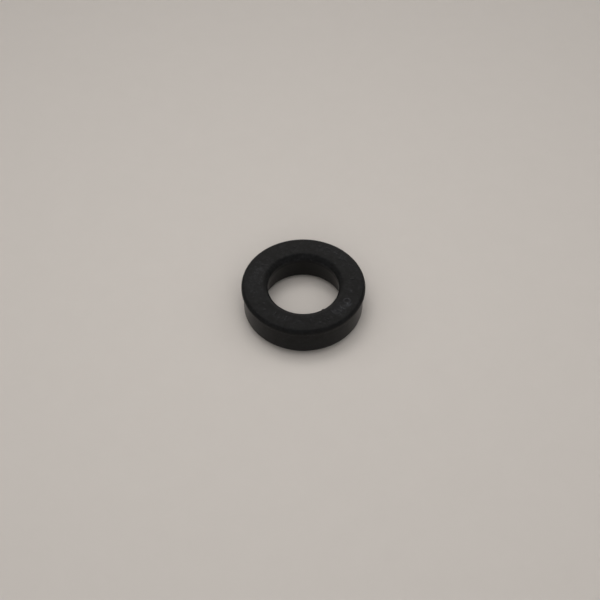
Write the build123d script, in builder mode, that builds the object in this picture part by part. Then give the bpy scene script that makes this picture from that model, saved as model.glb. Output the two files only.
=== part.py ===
from build123d import *
import os

os.makedirs("parts", exist_ok=True)

# Hydraulic U-cup seal, moulded in one piece of nitrile rubber.
# It lies on its lips with the heel up. Z = 0 is the plane under the outer lip and the axis is Z.
# Lengths are in millimetres.

# Ring: the rod it runs on, the radial width of its section, and its height
rod_diameter = 14.0
section_width = 5.0
seal_height = 8.0

# Heel: rounded corners, with a cylindrical fit surface below each
heel_outer_round = 0.65
heel_inner_round = 1.0
heel_band_length = 0.4
heel_land_length = 0.7

# Outer lip: its wall is relieved behind the heel band, then bevelled to the tip
outer_relief = 0.34
shoulder_drop = 0.4
outer_edge_height = 1.85

# Inner lip: the bore widens from the heel land to the lip's edge, and the lip is the shorter one
inner_flare = 0.85
inner_edge_height = 1.5
inner_lip_shortfall = 0.6

# Pressure groove between the lips, narrower at its root than at its mouth, with the root's corners eased
groove_depth = 4.2
groove_mouth_width = 1.3
groove_root_width = 0.84
groove_root_chamfer = 0.25
groove_offset = 0.12

# Lip tips, trimmed flat
tip_land = 0.2

# Radii that follow from the sizes above
bore_radius = rod_diameter / 2
heel_radius = bore_radius + section_width
outer_wall_radius = heel_radius - outer_relief
inner_edge_radius = bore_radius + inner_flare
groove_radius = bore_radius + section_width / 2 + groove_offset
outer_tip_radius = groove_radius + groove_mouth_width / 2
inner_tip_radius = groove_radius - groove_mouth_width / 2
outer_root_radius = groove_radius + groove_root_width / 2
inner_root_radius = groove_radius - groove_root_width / 2

# Heights that follow
band_foot = seal_height - heel_outer_round - heel_band_length
land_foot = seal_height - heel_inner_round - heel_land_length
inner_tip_height = inner_lip_shortfall
groove_wall_top = groove_depth - groove_root_chamfer

# Corners of the section, from the heel's bore corner outwards, each with the round it gets
section_corners = [
    (bore_radius, seal_height, heel_inner_round),
    (heel_radius, seal_height, heel_outer_round),
    (heel_radius, band_foot, 0),
    (outer_wall_radius, band_foot - shoulder_drop, 0),
    (outer_wall_radius, outer_edge_height, 0),
    (outer_tip_radius + tip_land, 0, 0),
    (outer_tip_radius, 0, 0),
    (outer_root_radius, groove_wall_top, 0),
    (outer_root_radius - groove_root_chamfer, groove_depth, 0),
    (inner_root_radius + groove_root_chamfer, groove_depth, 0),
    (inner_root_radius, groove_wall_top, 0),
    (inner_tip_radius, inner_tip_height, 0),
    (inner_tip_radius - tip_land, inner_tip_height, 0),
    (inner_edge_radius, inner_edge_height, 0),
    (bore_radius, land_foot, 0),
]

with BuildPart() as seal:
    with BuildSketch(Plane.XZ):
        with BuildLine():
            FilletPolyline(
                *[(radius, height) for radius, height, _ in section_corners],
                radius=[corner_round for _, _, corner_round in section_corners],
                close=True,
            )
        make_face()
    revolve(axis=Axis.Z)

seal.part.label = "seal"
export_step(seal.part, "parts/seal.step")
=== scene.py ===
# Rubber U-cup seal lying heel up on a pale bench. Sizes in the dictionaries are in millimetres.
import math

import bpy
import numpy as np
from mathutils import Matrix, Vector


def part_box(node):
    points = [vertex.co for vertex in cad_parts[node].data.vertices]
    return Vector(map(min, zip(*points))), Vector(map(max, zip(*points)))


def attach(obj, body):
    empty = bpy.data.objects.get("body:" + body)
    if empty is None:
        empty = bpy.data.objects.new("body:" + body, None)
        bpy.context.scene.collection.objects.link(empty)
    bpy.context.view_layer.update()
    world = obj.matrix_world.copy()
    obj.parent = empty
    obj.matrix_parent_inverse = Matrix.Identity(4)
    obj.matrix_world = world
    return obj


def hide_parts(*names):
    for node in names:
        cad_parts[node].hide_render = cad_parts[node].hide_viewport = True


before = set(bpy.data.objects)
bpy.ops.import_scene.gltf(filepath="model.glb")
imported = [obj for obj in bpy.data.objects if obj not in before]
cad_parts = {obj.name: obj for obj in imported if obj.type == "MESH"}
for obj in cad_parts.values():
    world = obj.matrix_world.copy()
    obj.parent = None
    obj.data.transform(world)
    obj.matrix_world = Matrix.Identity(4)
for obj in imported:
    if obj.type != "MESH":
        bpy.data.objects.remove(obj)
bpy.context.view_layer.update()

mm = 0.001
scene = bpy.context.scene
scene.view_settings.view_transform = "Standard"
scene.view_settings.look = "None"


def linearFromHex(code):
    # sRGB hex to the linear values that shaders and lamps expect
    parts = [int(code[i:i + 2], 16) / 255 for i in (1, 3, 5)]
    return [c / 12.92 if c <= 0.04045 else ((c + 0.055) / 1.055) ** 2.4 for c in parts] + [1.0]


def addNode(tree, kind, settings=None, inputs=None):
    # one node with its settings; an input is a plain value or the output socket to link from
    node = tree.nodes.new(kind)
    for name, value in (settings or {}).items():
        setattr(node, name, value)
    for name, value in (inputs or {}).items():
        if isinstance(value, bpy.types.NodeSocket):
            tree.links.new(value, node.inputs[name])
        else:
            node.inputs[name].default_value = value
    return node


def calculate(tree, operation, *values, clamp=False):
    settings = {"operation": operation, "use_clamp": clamp}
    return addNode(tree, "ShaderNodeMath", settings, dict(enumerate(values))).outputs[0]


def blendColours(tree, share, start, end):
    # a colour mix has its share at input 0, its two colours at 6 and 7, and its result at output 2
    return addNode(tree, "ShaderNodeMix", {"data_type": "RGBA"}, {0: share, 6: start, 7: end}).outputs[2]


def remap(tree, value, start, end, fromStart=0.0, fromEnd=1.0):
    limits = {"From Min": fromStart, "From Max": fromEnd, "To Min": start, "To Max": end}
    return addNode(tree, "ShaderNodeMapRange", None, {"Value": value, **limits}).outputs["Result"]


def noise(tree, place, size, detail, roughness):
    inputs = {"Vector": place, "Scale": 1 / size, "Detail": detail, "Roughness": roughness}
    return addNode(tree, "ShaderNodeTexNoise", None, inputs).outputs["Fac"]


def pointValue(tree, name):
    return addNode(tree, "ShaderNodeAttribute", {"attribute_name": name}).outputs["Fac"]


def newMaterial(name):
    material = bpy.data.materials.new(name)
    material.use_nodes = True
    material.node_tree.nodes.clear()
    return material, material.node_tree


# the seal's section, and how finely it is drawn
ring = {
    "boreRadius": 7.0,
    "heelInnerRound": 1.0,
    "heelOuterRound": 0.65,
    "bandLength": 0.4,          # straight band under the outer round
    "landLength": 0.7,          # straight land under the bore round
    "outerRelief": 0.34,        # the wall stands this far inside the band
    "bandFootRound": 0.06,
    "shoulderDrop": 0.4,        # slope from the band in to the wall
    "shoulderRound": 0.12,
    "outerEdgeHeight": 1.85,    # where the outer lip's bevel starts
    "outerEdgeRound": 0.8,
    "outerTipRadius": 10.3,
    "tipLand": 0.2,             # width of the flat on each lip
    "innerTipRadius": 8.77,
    "innerTipHeight": 0.6,
    "tipRound": 0.06,
    "grooveDepth": 4.2,
    "grooveCentre": 9.62,
    "rootHalfWidth": 0.42,
    "rootRound": 0.4,
    "innerEdgeRadius": 7.85,    # the bore widens down to here
    "innerEdgeHeight": 1.5,
    "innerEdgeRound": 0.5,
    "landBlend": 1.0,           # round from the land into the widening bore
    "boreOval": 0.14,           # a soft ring never stays quite round
    "boreOvalReach": 1.6,       # the ovality fades out this far into the rubber
    "facetsRound": 600,
    "faceStep": 0.084,          # row spacing on the heel face, fine enough for the moulded marks
    "wallStep": 0.45,
    "hiddenStep": 0.9,          # the tips' flats and the groove's root need few rows
    "bendStep": 11.0,           # degrees between rows round a corner
    "faceDepth": 1e-6,          # anything nearer the top than this is the flat face
}

# plain moulded bars, dots and a small ring on the heel face, dusty on top
marks = {
    "circleRadius": 9.6,
    "rise": 0.05,               # the face lies this much under the CAD top, and the marks reach it
    "stroke": 0.11,             # half the width of a bar
    "softEdge": 0.14,
    # (degrees round, offset outwards, shape, half length or radius, lean in degrees, how pale)
    "places": [
        (333.0, -0.25, "ring", 0.6, 0, 0.72), (321.0, -0.1, "bar", 0.5, 0, 0.6),
        (316.0, 0.15, "dot", 0.17, 0, 0.4), (308.2, -0.7, "bar", 0.36, 0, 0.55),
        (298.0, 0.3, "dot", 0.16, 0, 0.15), (288.6, 0.5, "dot", 0.2, 0, 0.14),
        (279.0, -0.2, "bar", 0.3, 0, 0.14), (266.0, -0.2, "dot", 0.18, 0, 0.2),
        (249.0, -0.4, "bar", 0.4, 0, 0.34), (241.5, 0.1, "dot", 0.25, 0, 0.24),
        (234.6, -0.3, "bar", 0.4, 0, 0.4), (222.0, 0.2, "dot", 0.2, 0, 0.14),
        (213.7, -0.5, "dot", 0.2, 0, 0.2), (166.1, -0.5, "bar", 0.28, 90, 0.2),
        (149.7, -0.3, "dot", 0.24, 0, 0.15), (101.0, 0.2, "dot", 0.16, 0, 0.15),
        (72.4, 0.6, "dot", 0.2, 0, 0.16), (61.7, 0.8, "bar", 0.3, 90, 0.2),
        (51.0, 0.5, "bar", 0.3, 90, 0.16), (43.0, 0.0, "dot", 0.22, 0, 0.14),
        (36.4, 0.6, "bar", 0.3, 90, 0.22), (28.8, 0.6, "dot", 0.2, 0, 0.16),
        (8.0, -0.1, "bar", 0.28, 0, 0.3), (349.0, -0.2, "dot", 0.16, 0, 0.3),
    ],
}

# where the face has a thin waxy haze: (degrees round, radius, half length round, half width, strength)
haze = [
    (172.0, 9.3, 3.2, 1.6, 0.13), (150.0, 9.0, 1.6, 1.2, 0.05), (196.0, 9.0, 1.2, 1.4, 0.07),
    (56.0, 10.3, 2.6, 1.0, 0.10), (33.0, 10.2, 1.6, 1.2, 0.07), (10.0, 10.6, 1.4, 0.9, 0.06),
    (329.0, 9.95, 0.6, 0.45, 0.85), (320.0, 9.4, 1.5, 0.9, 0.28), (310.0, 8.9, 0.9, 0.5, 0.06),
    (238.0, 9.4, 2.4, 0.7, 0.05), (225.0, 10.9, 1.6, 0.4, 0.04),
]

# lint and dust, on the upper part of the ring
specks = {"seed": 7, "count": 34, "size": (0.09, 0.2), "pale": (0.04, 0.2), "lowest": 0.4}

# painted shade: the rounded edges and the deep bore are drawn in blacker bare rubber with less dust, and a
# painted sheen lies under the bore's rear edge
paintedShading = {
    "edge": 0.28,               # how much painted shade lies on the rounded edges
    "edgeFrom": 0.08,           # depths under the face
    "edgeFade": 0.5,
    "edgeTo": 0.75,
    "boreFrom": 0.7,
    "boreTo": 2.0,
    "boreReach": 9.2,           # the bore and the inner lip lie within this radius
    "boreRoughness": 0.42,
    "rimDepth": 1.1,            # a little painted sheen under the bore's rear edge
    "rimReach": 0.6,
    "rimSheen": 0.16,
}

# a shred of flash left on the bore's edge by the trimming, and how far it stands out
flash = {
    "degrees": 301.5,
    "halfAngle": 1.5,
    "radius": 7.0,
    "height": 7.15,
    "reach": 0.45,
    "stand": 0.2,
}


def sectionCorners():
    # (radius, height, round, row spacing on the way to the next corner)
    low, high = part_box("seal")
    outerRadius = (high.x - low.x) / 2 / mm
    top = (high.z - low.z) / mm - marks["rise"]
    bandFoot = top - ring["heelOuterRound"] - ring["bandLength"]
    landFoot = top - ring["heelInnerRound"] - ring["landLength"]
    wallRadius = outerRadius - ring["outerRelief"]
    tip = ring["tipRound"]
    face, wall, hidden = ring["faceStep"], ring["wallStep"], ring["hiddenStep"]
    return [
        (ring["boreRadius"], top, ring["heelInnerRound"], face),
        (outerRadius, top, ring["heelOuterRound"], face),
        (outerRadius, bandFoot, ring["bandFootRound"], wall),
        (wallRadius, bandFoot - ring["shoulderDrop"], ring["shoulderRound"], wall),
        (wallRadius, ring["outerEdgeHeight"], ring["outerEdgeRound"], wall),
        (ring["outerTipRadius"], 0, tip, wall),
        (ring["outerTipRadius"] - ring["tipLand"], 0, tip, hidden),
        (ring["grooveCentre"] + ring["rootHalfWidth"], ring["grooveDepth"], ring["rootRound"], wall),
        (ring["grooveCentre"] - ring["rootHalfWidth"], ring["grooveDepth"], ring["rootRound"], hidden),
        (ring["innerTipRadius"] + ring["tipLand"], ring["innerTipHeight"], tip, wall),
        (ring["innerTipRadius"], ring["innerTipHeight"], tip, wall),
        (ring["innerEdgeRadius"], ring["innerEdgeHeight"], ring["innerEdgeRound"], wall),
        (ring["boreRadius"], landFoot, ring["landBlend"], wall),
    ]


def sectionRows(corners):
    # every corner becomes its tangent arc, and the straights between are divided at their own spacing
    arcs = []
    for i, (radius, height, size, _) in enumerate(corners):
        here = Vector((radius, height))
        toBefore = (Vector(corners[i - 1][:2]) - here).normalized()
        toAfter = (Vector(corners[(i + 1) % len(corners)][:2]) - here).normalized()
        turn = math.pi - toBefore.angle(toAfter)
        centre = here + (toBefore + toAfter).normalized() * size / math.cos(turn / 2)
        spoke = here + toBefore * size * math.tan(turn / 2) - centre
        side = 1 if (-toBefore).cross(toAfter) > 0 else -1
        count = max(2, math.ceil(math.degrees(turn) / ring["bendStep"]))
        arcs.append([centre + Matrix.Rotation(side * turn * k / count, 2) @ spoke for k in range(count + 1)])
    rows = []
    for i, arc in enumerate(arcs):
        rows += arc
        start, end = arc[-1], arcs[(i + 1) % len(arcs)][0]
        count = max(1, round((end - start).length / corners[i][3]))
        rows += [start.lerp(end, k / count) for k in range(1, count)]
    return rows


def angleFrom(angle, degrees):
    # signed angle from a place on the ring, in radians
    return (angle - math.radians(degrees) + math.pi) % (2 * math.pi) - math.pi


def markLevel(angle, radius, place):
    # 0 beside a mark, 1 on top of it, with a soft moulded flank
    degrees, offset, shape, half, lean, _ = place
    along = angleFrom(angle, degrees) * marks["circleRadius"]
    out = radius - marks["circleRadius"] - offset
    if shape == "bar":
        tilt = math.radians(lean)
        across = along * math.cos(tilt) - out * math.sin(tilt)
        length = along * math.sin(tilt) + out * math.cos(tilt)
        distance = np.hypot(across, length - np.clip(length, -half, half)) - marks["stroke"]
    elif shape == "ring":
        distance = np.abs(np.hypot(along, out) - half) - marks["stroke"]
    else:
        distance = np.hypot(along, out) - half
    level = np.clip(0.5 - distance / (2 * marks["softEdge"]), 0, 1)
    return level * level * (3 - 2 * level)


def dustOnFace(angle, radius):
    # the haze, and the dust that the marks hold
    dustAndSheen = np.zeros_like(angle)
    for degrees, middle, length, width, strength in haze:
        along = angleFrom(angle, degrees) * middle / length
        across = (radius - middle) / width
        dustAndSheen = dustAndSheen + strength * np.exp(-(along ** 2 + across ** 2))
    for place in marks["places"]:
        dustAndSheen = np.maximum(dustAndSheen, markLevel(angle, radius, place) * place[-1])
    return dustAndSheen


def paintedShadeAmount(radius, depth):
    # painted shade: 0 on open rubber, 1 deep in the bore
    edge = np.clip(depth / paintedShading["edgeFrom"], 0, 1) * paintedShading["edge"]
    edge = edge * np.clip((paintedShading["edgeTo"] - depth) / (paintedShading["edgeTo"] - paintedShading["edgeFade"]), 0, 1)
    bore = np.clip((depth - paintedShading["boreFrom"]) / (paintedShading["boreTo"] - paintedShading["boreFrom"]), 0, 1)
    return np.maximum(edge, np.where(radius < paintedShading["boreReach"], bore, 0))


def paintedSheenUnderRim(angle, radius, depth):
    # painted sheen, strongest at the rear, fading to nothing at the sides
    ridge = np.exp(-((depth - paintedShading["rimDepth"]) / paintedShading["rimReach"]) ** 2) * np.clip(np.sin(angle), 0, 1)
    return np.where(radius < ring["boreRadius"] + ring["heelInnerRound"] / 2, ridge, 0) * paintedShading["rimSheen"]


def addSpecks(dustAndSheen, points):
    # single grains, anywhere above this share of the height
    source = np.random.RandomState(specks["seed"])
    candidates = np.flatnonzero(points[:, 2] > points[:, 2].max() * specks["lowest"])
    for index in source.choice(candidates, specks["count"], replace=False):
        size = source.uniform(*specks["size"])
        pale = source.uniform(*specks["pale"])
        distance = np.linalg.norm(points - points[index], axis=1)
        dustAndSheen = np.maximum(dustAndSheen, pale * np.exp(-(distance / size) ** 2))
    return dustAndSheen


def flashStand(angle, radius, height):
    across = np.degrees(angleFrom(angle, flash["degrees"])) / flash["halfAngle"]
    upward = (height - flash["height"]) / flash["reach"]
    shred = np.exp(-across ** 2 - upward ** 2)
    return np.where(radius < flash["radius"] + flash["reach"], shred, 0) * flash["stand"]


def writePointValues(mesh, name, values):
    mesh.attributes.new(name, "FLOAT", "POINT").data.foreach_set("value", values)


def buildSeal():
    rows = sectionRows(sectionCorners())
    turns = ring["facetsRound"]
    angle = np.arange(turns) * 2 * math.pi / turns + np.zeros((len(rows), 1))
    radius = np.array([p.x for p in rows])[:, None] + np.zeros(turns)
    height = np.array([p.y for p in rows])[:, None] + np.zeros(turns)
    depth = height.max() - height
    onFace = depth < ring["faceDepth"]
    # painted shade on the rounded edges and deep in the bore
    shadeAmount = paintedShadeAmount(radius, depth)
    # the dust, with a painted sheen under the bore's rear edge
    dustAndSheen = np.where(onFace, dustOnFace(angle, radius), paintedSheenUnderRim(angle, radius, depth))
    raised = np.max([markLevel(angle, radius, place) for place in marks["places"]], axis=0)
    height = height + np.where(onFace, raised, 0) * marks["rise"]
    # the bore, a little out of round, with its shred of flash
    nearBore = np.clip(1 - (radius - ring["boreRadius"]) / ring["boreOvalReach"], 0, 1)
    radius = radius - ring["boreOval"] * nearBore * (1 + np.cos(2 * angle)) / 2
    radius = radius - flashStand(angle, radius, height)

    points = np.stack([radius * np.cos(angle), radius * np.sin(angle), height], -1).reshape(-1, 3)
    index = np.arange(len(rows) * turns).reshape(len(rows), turns)
    nextRow, nextTurn = np.roll(index, -1, 0), np.roll(index, -1, 1)
    faces = np.stack([index, nextRow, np.roll(nextRow, -1, 1), nextTurn], -1).reshape(-1, 4)
    mesh = bpy.data.meshes.new("sealRubber")
    mesh.from_pydata((points * mm).tolist(), [], faces.tolist())
    mesh.polygons.foreach_set("use_smooth", [True] * len(mesh.polygons))
    writePointValues(mesh, "dustAndSheen", addSpecks(dustAndSheen.ravel(), points))
    writePointValues(mesh, "paintedShading", shadeAmount.ravel())
    seal = bpy.data.objects.new("sealRubber", mesh)
    scene.collection.objects.link(seal)
    print("seal:", len(rows), "rows,", len(faces) * 2, "triangles")
    return seal


# nitrile rubber, compression moulded: black, a dull sheen, faintly mottled, with pale bloom and dust on top
rubber = {
    "deep": "#080808",
    "worn": "#1f1f1f",
    "dustAndSheen": "#56565a",
    "roughness": 0.3,
    "dustRoughness": 0.55,
    "ior": 1.172,               # soft carbon-filled skin, much duller than a hard plastic
    "mottle": 1.6,              # size of the patches
    "mottleDetail": 4.0,
    "mottleRoughness": 0.65,
    "fleck": 0.55,              # the bloom's own grain, drawn coarser than it is so that it shows
    "fleckDetail": 3.0,
    "fleckRoughness": 0.6,
    "fleckLow": 0.50,
    "fleckHigh": 0.78,
    "fleckDust": 0.085,
    "layerThin": 0.3,           # share of the dust layer that lies between the flecks
    "layerThick": 1.3,          # and what a fleck adds to it
    "grain": 0.12,              # mould grain, drawn as coarse as it shows
    "grainDetail": 2.0,
    "grainRoughness": 0.5,
    "grainDepth": 0.004,
    "grainStrength": 0.3,
}


def mouldedNitrileRubber():
    material, tree = newMaterial("mouldedNitrileRubber")
    place = addNode(tree, "ShaderNodeTexCoord").outputs["Object"]
    scaled = addNode(tree, "ShaderNodeVectorMath", {"operation": "SCALE"}, {0: place, "Scale": 1 / mm})
    inMm = scaled.outputs[0]
    # painted shade: blacker rubber with less mottling and less dust on the rounded edges and deep in the
    # bore
    shadeAmount = pointValue(tree, "paintedShading")
    unshaded = calculate(tree, "SUBTRACT", 1.0, shadeAmount)
    patches = noise(tree, inMm, rubber["mottle"], rubber["mottleDetail"], rubber["mottleRoughness"])
    worn = calculate(tree, "MULTIPLY", patches, unshaded)
    tone = blendColours(tree, worn, linearFromHex(rubber["deep"]), linearFromHex(rubber["worn"]))
    # the layer is patchy itself, and thin bloom lies over everything outside the painted shade
    flecks = noise(tree, inMm, rubber["fleck"], rubber["fleckDetail"], rubber["fleckRoughness"])
    fleck = remap(tree, flecks, 0.0, unshaded, rubber["fleckLow"], rubber["fleckHigh"])
    broken = calculate(tree, "MULTIPLY_ADD", fleck, rubber["layerThick"], rubber["layerThin"])
    # the dust attribute also holds the painted sheen under the bore's rear edge
    layerAndSheen = calculate(tree, "MULTIPLY", pointValue(tree, "dustAndSheen"), broken)
    coverAndSheen = calculate(tree, "MULTIPLY_ADD", fleck, rubber["fleckDust"], layerAndSheen, clamp=True)
    colour = blendColours(tree, coverAndSheen, tone, linearFromHex(rubber["dustAndSheen"]))
    bare = remap(tree, shadeAmount, rubber["roughness"], paintedShading["boreRoughness"])
    roughness = remap(tree, coverAndSheen, bare, rubber["dustRoughness"])
    grain = noise(tree, inMm, rubber["grain"], rubber["grainDetail"], rubber["grainRoughness"])
    relief = {"Strength": rubber["grainStrength"], "Distance": rubber["grainDepth"] * mm, "Height": grain}
    bump = addNode(tree, "ShaderNodeBump", None, relief).outputs["Normal"]
    shader = addNode(tree, "ShaderNodeBsdfPrincipled", None,
                     {"Base Color": colour, "Roughness": roughness, "IOR": rubber["ior"], "Normal": bump})
    addNode(tree, "ShaderNodeOutputMaterial", None, {"Surface": shader.outputs["BSDF"]})
    return material


seal = buildSeal()
seal.data.materials.append(mouldedNitrileRubber())
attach(seal, "root")
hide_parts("seal")

# painted board, sprayed matt: pale and even, no gloss, the least unevenness of tone
bench = {
    "tone": "#cdc6bf",
    "shade": "#c9c2bb",
    "patch": 6.0,
    "patchDetail": 5.0,
    "patchRoughness": 0.7,
    "size": 3000.0,
    "roughness": 0.9,
}


def sprayedMattPaint():
    material, tree = newMaterial("sprayedMattPaint")
    place = addNode(tree, "ShaderNodeTexCoord").outputs["Object"]
    patches = noise(tree, place, bench["patch"] * mm, bench["patchDetail"], bench["patchRoughness"])
    tone = blendColours(tree, patches, linearFromHex(bench["shade"]), linearFromHex(bench["tone"]))
    shader = addNode(tree, "ShaderNodeBsdfPrincipled", None,
                     {"Base Color": tone, "Roughness": bench["roughness"]})
    addNode(tree, "ShaderNodeOutputMaterial", None, {"Surface": shader.outputs["BSDF"]})
    return material


def buildBench():
    half = bench["size"] / 2 * mm
    corners = [(-half, -half, 0), (half, -half, 0), (half, half, 0), (-half, half, 0)]
    mesh = bpy.data.meshes.new("bench")
    mesh.from_pydata(corners, [], [(0, 1, 2, 3)])
    mesh.materials.append(sprayedMattPaint())
    floor = bpy.data.objects.new("bench", mesh)
    scene.collection.objects.link(floor)


buildBench()

# soft lamps that leave no highlight
lamps = {
    # (degrees round from the right, elevation, half-angle, share of the bench's light, distance)
    "frontPanel": (270.0, 50.0, 28.0, 0.295, 3000.0),
    "leftPanel": (180.0, 57.0, 28.0, 0.155, 3000.0),
    "rightPanel": (0.0, 57.0, 28.0, 0.15, 3000.0),
    "ceiling": (90.0, 86.0, 28.0, 0.12, 210.0),
    "overhead": (127.0, 85.0, 12.0, 0.23, 210.0),
}
benchLevel = 0.925  # light on the bench, as the radiance of a white sheet there

# the room: what it adds to the bench, and what the rubber mirrors of it
room = {
    "fill": 0.02,
    "walls": 0.50,
    "window": 1.62,
    "windowPoint": (0.0, 0.81, 0.59),
    "windowSpread": 12.0,
    "shadowPoint": (0.08, -0.70, 0.71),     # the unlit side, in front
    "shadowSpread": 13.0,
    "horizon": 0.3,
    "horizonSpread": 2.5,
    "tint": "#fffaf4",
    "seen": "#a09c95",
}


def buildLamps():
    for name, (turn, rise, half, share, distance) in lamps.items():
        turn, rise, half = math.radians(turn), math.radians(rise), math.radians(half)
        way = Vector((math.cos(rise) * math.cos(turn), math.cos(rise) * math.sin(turn), math.sin(rise)))
        radius = distance * mm * math.tan(half)
        radiance = benchLevel * share / (math.sin(half) ** 2 * way.z)
        data = bpy.data.lights.new(name, "AREA")
        data.shape = "DISK"
        data.size = radius * 2
        data.energy = radiance * (math.pi * radius) ** 2
        lamp = bpy.data.objects.new(name, data)
        lamp.location = way * distance * mm
        lamp.rotation_mode = "QUATERNION"
        lamp.rotation_quaternion = way.to_track_quat("Z", "Y")
        lamp.visible_glossy = False
        lamp.visible_camera = False
        scene.collection.objects.link(lamp)


def buildRoom():
    world = bpy.data.worlds.new("room")
    scene.world = world
    world.use_nodes = True
    tree = world.node_tree
    tree.nodes.clear()
    way = addNode(tree, "ShaderNodeTexCoord").outputs["Generated"]
    upward = addNode(tree, "ShaderNodeSeparateXYZ", None, {0: way}).outputs["Z"]

    def glow(point, spread):
        # 1 towards a point of the room, falling off round it
        toward = Vector(point).normalized()
        near = addNode(tree, "ShaderNodeVectorMath", {"operation": "DOT_PRODUCT"}, {0: way, 1: toward})
        return calculate(tree, "POWER", calculate(tree, "MAXIMUM", near.outputs["Value"], 0.0), spread)

    window = calculate(tree, "MULTIPLY", glow(room["windowPoint"], room["windowSpread"]), room["window"])
    flatness = calculate(tree, "SUBTRACT", 1.0, calculate(tree, "ABSOLUTE", upward))
    horizon = calculate(tree, "POWER", flatness, room["horizonSpread"])
    horizon = calculate(tree, "MULTIPLY", horizon, room["horizon"])
    # the walls fade into a dark ceiling
    walls = calculate(tree, "SUBTRACT", 1.0, calculate(tree, "MULTIPLY", upward, upward))
    walls = calculate(tree, "MULTIPLY", walls, room["walls"])
    bright = calculate(tree, "ADD", calculate(tree, "ADD", window, walls), horizon)
    away = calculate(tree, "SUBTRACT", 1.0, glow(room["shadowPoint"], room["shadowSpread"]))
    lit = calculate(tree, "MULTIPLY", bright, away)

    # three skies: one lights, one is mirrored and one is seen behind the bench
    path = addNode(tree, "ShaderNodeLightPath")
    lighting = addNode(tree, "ShaderNodeBackground", None, {"Strength": room["fill"]}).outputs[0]
    mirrored = addNode(tree, "ShaderNodeBackground", None,
                       {"Color": linearFromHex(room["tint"]), "Strength": lit}).outputs[0]
    seen = addNode(tree, "ShaderNodeBackground", None, {"Color": linearFromHex(room["seen"])}).outputs[0]
    sky = addNode(tree, "ShaderNodeMixShader", None,
                  {0: path.outputs["Is Glossy Ray"], 1: lighting, 2: mirrored}).outputs[0]
    sky = addNode(tree, "ShaderNodeMixShader", None,
                  {0: path.outputs["Is Camera Ray"], 1: sky, 2: seen}).outputs[0]
    addNode(tree, "ShaderNodeOutputWorld", None, {"Surface": sky})


buildLamps()
buildRoom()

view = {
    "distance": 213.7,
    "elevation": 49.4,
    "focal": 66.45,
    "sensor": 36.0,
    "near": 0.01,               # clipping, in metres
    "far": 10.0,
    "pan": 0.17,                # small turns off the middle of the top, in degrees
    "tilt": -0.859,
    "roll": 0.5,
}


def buildCamera():
    data = bpy.data.cameras.new("camera")
    data.lens = view["focal"]
    data.sensor_width = view["sensor"]
    data.clip_start, data.clip_end = view["near"], view["far"]
    camera = bpy.data.objects.new("camera", data)
    low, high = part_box("seal")
    target = Vector(((low.x + high.x) / 2, (low.y + high.y) / 2, high.z))
    rise = math.radians(view["elevation"])
    back = Vector((0, -math.cos(rise), math.sin(rise)))
    camera.location = target + back * view["distance"] * mm
    aim = (-back).to_track_quat("-Z", "Y").to_matrix()
    for name, axis in (("pan", "Y"), ("tilt", "X"), ("roll", "Z")):
        aim = aim @ Matrix.Rotation(math.radians(view[name]), 3, axis)
    camera.rotation_mode = "QUATERNION"
    camera.rotation_quaternion = aim.to_quaternion()
    scene.collection.objects.link(camera)
    scene.camera = camera


buildCamera()
print("seal: bench, light and camera set")

print("seal: done")
